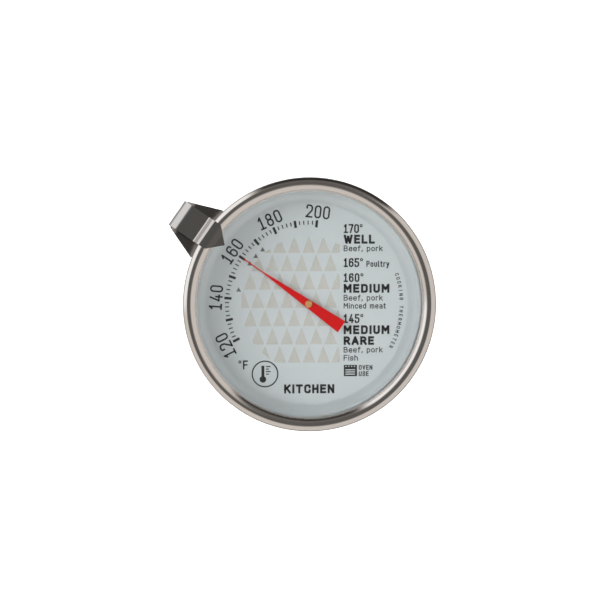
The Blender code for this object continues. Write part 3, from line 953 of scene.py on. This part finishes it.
def make_pointer():
    """Stamped blade with softened edges."""
    tail = 11.2 * MM
    reach = 22.1 * MM
    needle_start = 15.6 * MM
    tail_half = 1.85 * MM
    needle_half = 0.16 * MM
    hole = 0.84 * MM
    outline = [(-tail, -tail_half, 0.12 * MM), (needle_start, -needle_half)]
    outline += [(reach - 0.3 * MM, -needle_half), (reach, 0.0)]
    outline += [(reach - 0.3 * MM, needle_half), (needle_start, needle_half)]
    outline += [(-tail, tail_half, 0.12 * MM)]
    shape = bmesh.new()
    outer = [shape.verts.new((p.x, p.y, POINTER_BOTTOM)) for p in rounded(outline, True, 4)]
    inner = [shape.verts.new((x, y, POINTER_BOTTOM)) for x, y in circle(0, 0, hole, 32)]
    edges = []
    for ring in (outer, inner):
        for i, vert in enumerate(ring):
            edges.append(shape.edges.new((vert, ring[(i + 1) % len(ring)])))
    bmesh.ops.triangle_fill(shape, use_beauty=True, edges=edges)
    grown = bmesh.ops.extrude_face_region(shape, geom=list(shape.faces))
    lifted = [item for item in grown["geom"] if isinstance(item, bmesh.types.BMVert)]
    bmesh.ops.translate(shape, verts=lifted, vec=(0, 0, POINTER_TOP - POINTER_BOTTOM))
    bmesh.ops.rotate(shape, verts=shape.verts, cent=(0, 0, 0),
                     matrix=Matrix.Rotation(math.radians(REST_ANGLE), 3, "Z"))
    blade = add_piece("pointer_blade", mesh_from("pointer_blade", shape), red_paint(),
                      "pointer_train", ["pointer"])
    soften(blade, 0.04 * MM)
    return blade


def soften(piece, width, segments=2):
    """Small rounding on a piece's sharp edges."""
    bevel = piece.modifiers.new("edge", "BEVEL")
    bevel.width = width
    bevel.segments = segments
    bevel.limit_method = "ANGLE"
    bevel.angle_limit = math.radians(50)


def make_hub(brass):
    """Riveted brass hub: a domed head over the blade and a shoulder under it."""
    below = POINTER_BOTTOM - FINE_GAP
    above = POINTER_TOP + FINE_GAP
    head = high("pointer_hub")[0]
    bottom, top = heights("pointer_hub")
    neck = 0.72 * MM
    bore = 0.34 * MM
    corners = [(bore, bottom), (head, bottom, 0.06 * MM), (head, below, 0.06 * MM)]
    corners += [(neck, below), (neck, above), (head, above, 0.04 * MM)]
    corners += [(head, top - 0.2 * MM, 0.1 * MM), (head - 0.25 * MM, top, 0.3 * MM), (bore, top)]
    profile = rounded(corners, True, 5)
    add_turned("hub_riveted_head", profile, 64, brass, "pointer_train", "pointer_hub")


def make_shaft(finish):
    """Drawn spindle with a rounded end."""
    bottom, top = heights("pointer_shaft")
    radius = high("pointer_shaft")[0]
    corners = [(0, bottom), (radius, bottom, 0.05 * MM), (radius, top, 0.12 * MM), (0, top)]
    profile = rounded(corners, False, 4)
    add_turned("shaft_spindle", profile, 40, finish,
               "pointer_train", "pointer_shaft")


# ---- stem

def make_stem():
    ground = steel("stem_ground_steel", srgb(214, 211, 208), 0.20, 0.05, 0.08, across=9000)
    turned_steel = steel("collar_turned_steel", srgb(208, 204, 200), 0.22, 0.06, 0.05, across=7000)
    make_tube(ground)
    make_tip(ground)
    make_collar(turned_steel)
    return ground


def make_tube(finish):
    bottom, top = heights("stem_tube")
    bore = STEM_RADIUS - 0.3 * MM
    edge = 0.06 * MM
    corners = [(bore, bottom), (STEM_RADIUS, bottom, edge), (STEM_RADIUS, top, edge), (bore, top)]
    profile = rounded(corners, True, 3)
    add_turned("stem_ground_tube", profile, 64, finish, "head", "stem_tube")


def make_tip(finish):
    """Ground point: a slightly swollen cone that ends in a small blunt nose."""
    bottom, top = heights("stem_tip")
    seat = low("stem_tube")[2] - FINE_GAP
    spigot = STEM_RADIUS - 0.42 * MM
    nose = 0.35 * MM
    swell = (1.3 * MM, bottom + 4.1 * MM, 12 * MM)
    shoulder = (STEM_RADIUS, seat - 0.5 * MM, 2 * MM)
    corners = [(0, bottom), (nose, bottom, 0.3 * MM), swell, shoulder]
    corners += [(STEM_RADIUS, seat), (spigot, seat), (spigot, top), (0, top)]
    profile = rounded(corners, False, 6)
    add_turned("stem_ground_point", profile, 64, finish, "head", "stem_tip")


def make_collar(finish):
    """Turned ferrule: foot against the case, neck that narrows to the stem."""
    bottom, top = heights("stem_collar")
    bore = STEM_RADIUS + FINE_GAP
    mouth = 2.75 * MM
    waist = 3.1 * MM
    body = 3.6 * MM
    foot = high("stem_collar")[0]
    corners = [(bore, bottom), (mouth, bottom, 0.25 * MM), (waist, bottom + 0.8 * MM, 2 * MM)]
    corners += [(body, -2.0 * MM, 2 * MM), (body, -1.5 * MM, 0.3 * MM)]
    corners += [(foot, -1.4 * MM, 0.35 * MM), (foot, top, 0.1 * MM), (bore, top)]
    profile = rounded(corners, True, 6)
    add_turned("collar_turned_ferrule", profile, 96, finish, "head", "stem_collar")


# ---- target marker

# Upper face of the strip, in millimetres: radius, height, bend radius, half width
CLIP_PATH = (
    (28.8, 13.78, 0.0, 0.10),
    (31.0, 13.78, 1.0, 2.25),
    (32.5, 13.87, 1.5, 3.75),
    (33.0, 13.89, 1.0, 3.95),
    (35.15, 13.55, 1.5, 3.95),
    (36.25, 11.00, 0.8, 3.95),
    (44.35, 11.00, 3.43, 3.95),
    (44.35, 4.12, 3.43, 3.95),
    (34.3, 4.12, 0.0, 7.8),
    (33.05, 4.12, 0.0, 7.8),
)


def clip_stations():
    """Points along the strip with its half width, which changes evenly with length."""
    corners = [(r * MM, z * MM, bend * MM) for r, z, bend, half in CLIP_PATH]
    stations = []
    for i, (r, z, bend, half) in enumerate(CLIP_PATH):
        here = Vector((r * MM, z * MM))
        if bend == 0:
            stations.append((here, half * MM))
            continue
        before = Vector(corners[i - 1][:2])
        after = Vector(corners[i + 1][:2])
        for point in fillet(before, here, after, bend * MM, 10):
            stations.append((point, clip_half_width(point, here, before, after, i)))
    return stations


def clip_half_width(point, here, before, after, index):
    """Half width at a point of a bend, from the straight run that it is nearer to."""
    half = CLIP_PATH[index][3]
    to_before = (point - here).dot((before - here).normalized())
    to_after = (point - here).dot((after - here).normalized())
    if to_before > to_after:
        share = to_before / (before - here).length
        return (half + (CLIP_PATH[index - 1][3] - half) * share) * MM
    share = to_after / (after - here).length
    return (half + (CLIP_PATH[index + 1][3] - half) * share) * MM


def make_clip():
    """Bent spring strip: point over the glass, saddle, finger fold, flared rear leg."""
    stations = clip_stations()
    run = [point for point, half in stations]
    inner = side_offsets(run, False, CLIP_SHEET)[1]
    shape = bmesh.new()
    rings = []
    for (point, half), under in zip(stations, inner):
        corners = ((point.x, half, point.y), (point.x, -half, point.y),
                   (under.x, -half, under.y), (under.x, half, under.y))
        rings.append([shape.verts.new(corner) for corner in corners])
    for here, after in zip(rings, rings[1:]):
        for k in range(4):
            m = (k + 1) % 4
            shape.faces.new((here[k], here[m], after[m], after[k]))
    shape.faces.new(rings[0])
    shape.faces.new(rings[-1])
    bmesh.ops.rotate(shape, verts=shape.verts, cent=(0, 0, 0),
                     matrix=Matrix.Rotation(math.radians(CLIP_ANGLE), 3, "Z"))
    # The rear leg's wings below 4.6 mm get painted shade, darker than the tab above them.
    finish = steel("clip_spring_steel", srgb(203, 199, 197), 0.15, 0.03, 0.05, False, 7000, 300,
                   painted_shade_below=4.6 * MM)
    clip = add_piece("marker_spring_clip", mesh_from("marker_spring_clip", shape), finish,
                     "target_marker", ["target_marker_clip"])
    soften(clip, 0.05 * MM)
    return clip


# ---- kept CAD nodes

def refinish_inner_pieces(brass, ground):
    """The pieces inside the stem and the case keep their CAD shape."""
    strip = steel("bimetal_rolled_strip", srgb(196, 186, 168), 0.3, 0.05, 0.05)
    silicone = rubber()
    finishes = {
        "upper_bushing": brass, "middle_guide": brass, "lower_guide": brass,
        "coil_top_collar": brass, "coil_anchor": ground, "stem_flange": ground,
        "bimetal_coil": strip, "lens_gasket": silicone,
    }
    for name, finish in finishes.items():
        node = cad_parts[name]
        node.data.materials.clear()
        node.data.materials.append(finish)


# ---- studio

# Surroundings seen by the metal. A side is its start, end and blur, in degrees of azimuth
# anticlockwise from the left; a level is a brightness.
HORIZON_LEVEL = 0.73
BRIGHT_SIDE = (-65.0, 4.0, 4.0)
BRIGHT_LEVEL = 1.10
DARK_SIDE = (-136.0, -68.0, 4.0)
DARK_LEVEL = 0.03
DARK_UPPER_LEVEL = 0.16
CEILING_AIM = (-0.21, 0.07, 0.97)
CEILING_SPREAD = 31.0
CEILING_LEVEL = 0.12
FLOOR_START = -0.45
FLOOR_LEVEL = 0.12
FLOOR_LEFT_LEVEL = 0.5
BACKDROP_LEVEL = 0.95
FILL_SHARE = 0.35
WARM = (1.0, 0.95, 0.90, 1.0)
WHITE = (1.0, 1.0, 1.0, 1.0)


def make_world():
    """Bright and dark walls under a dim ceiling; the camera sees a plain pale backdrop."""
    world = bpy.data.worlds.new("studio")
    bpy.context.scene.world = world
    world.use_nodes = True
    n = Nodes(world.node_tree)
    direction = n.add("TexCoord").outputs["Generated"]
    x, y, z = n.add("SeparateXYZ", Vector=direction).outputs
    from_left = n.math("ARCTAN2", n.math("MULTIPLY", y, -1.0), n.math("MULTIPLY", x, -1.0))
    azimuth = n.math("DEGREES", from_left)
    dark_wall = n.spread(z, DARK_LEVEL, DARK_UPPER_LEVEL, 0.3, 0.65)
    bright = n.band(azimuth, *BRIGHT_SIDE)
    level = n.blend(bright, HORIZON_LEVEL, BRIGHT_LEVEL)
    level = n.blend(n.band(azimuth, *DARK_SIDE), level, dark_wall)
    toward = n.add("VectorMath", {"operation": "DOT_PRODUCT"})
    n.put(toward.inputs[0], direction)
    n.put(toward.inputs[1], Vector(CEILING_AIM).normalized())
    edge = math.cos(math.radians(CEILING_SPREAD))
    ceiling = n.band(toward.outputs["Value"], edge, 2.0, 0.08)
    level = n.blend(ceiling, level, CEILING_LEVEL)
    floor_level = n.spread(x, FLOOR_LEFT_LEVEL, FLOOR_LEVEL, -0.5, 0.0)
    level = n.blend(n.band(z, -2.0, FLOOR_START, 0.1), level, floor_level)
    path = n.add("LightPath").outputs
    level = n.blend(path["Is Diffuse Ray"], level, n.math("MULTIPLY", level, FILL_SHARE))
    background = n.tree.nodes["Background"]
    n.put(background.inputs["Strength"], n.blend(path["Is Camera Ray"], level, BACKDROP_LEVEL))
    warm = n.math("MULTIPLY", path["Is Glossy Ray"], n.math("SUBTRACT", 1.0, bright))
    n.put(background.inputs["Color"], n.tint(warm, WHITE, WARM))


def make_floor():
    n = Finish("floor_white")
    n.set(Base_Color=(0.93, 0.93, 0.93, 1.0), Roughness=0.9)
    n.set(Emission_Color=(1.0, 1.0, 1.0, 1.0), Emission_Strength=0.75)
    mesh = bpy.data.meshes.new("floor")
    half = 4.0
    mesh.from_pydata([(-half, -half, FLOOR_Z), (half, -half, FLOOR_Z), (half, half, FLOOR_Z),
                      (-half, half, FLOOR_Z)], [], [(0, 1, 2, 3)])
    mesh.materials.append(n.material)
    floor = bpy.data.objects.new("floor", mesh)
    bpy.context.scene.collection.objects.link(floor)
    floor.visible_glossy = False


# Soft lamps aimed at the dial, unseen by the metal: place in metres, side of the square, power
LAMPS = {
    "near_right": ((0.040, -0.020, 0.135), 0.06, 0.100),
    "low_left": ((-0.29, 0.07, 0.17), 0.20, 0.95),
    "lower_left": ((-0.30, -0.42, 0.70), 0.14, 0.6),
}


def make_lamps():
    for name, (place, size, power) in LAMPS.items():
        data = bpy.data.lights.new(name, "AREA")
        data.size = size
        data.energy = power
        lamp = bpy.data.objects.new(name, data)
        lamp.location = place
        aim = Vector((0, 0, DIAL_TOP)) - Vector(place)
        lamp.rotation_euler = aim.to_track_quat("-Z", "Y").to_euler()
        lamp.visible_glossy = False
        lamp.visible_transmission = False
        lamp.visible_camera = False
        bpy.context.scene.collection.objects.link(lamp)


def make_camera():
    """Long lens almost straight above the dial, a little to its left and above 12 o'clock."""
    distance = 0.70
    left_tilt = 5.2
    up_tilt = 2.0
    view = Vector((-math.tan(math.radians(left_tilt)), math.tan(math.radians(up_tilt)), 1.0))
    view.normalize()
    target = Vector((-1.6 * MM, 0.12 * MM, 11.0 * MM))
    data = bpy.data.cameras.new("camera")
    data.sensor_width = 36.0
    data.lens = 150.5
    data.clip_start = 0.01
    camera = bpy.data.objects.new("camera", data)
    right = Vector((0, 1, 0)).cross(view).normalized()
    up = view.cross(right)
    place = Matrix((right, up, view)).transposed().to_4x4()
    place.translation = target + view * distance
    camera.matrix_world = place
    bpy.context.scene.collection.objects.link(camera)
    bpy.context.scene.camera = camera


def main():
    make_camera()
    brass = turned_brass()
    make_head()
    make_print()
    make_pointer()
    make_hub(brass)
    make_shaft(brass)
    ground = make_stem()
    make_clip()
    refinish_inner_pieces(brass, ground)
    make_world()
    make_floor()
    make_lamps()
    bpy.context.scene.view_settings.view_transform = "Standard"


main()
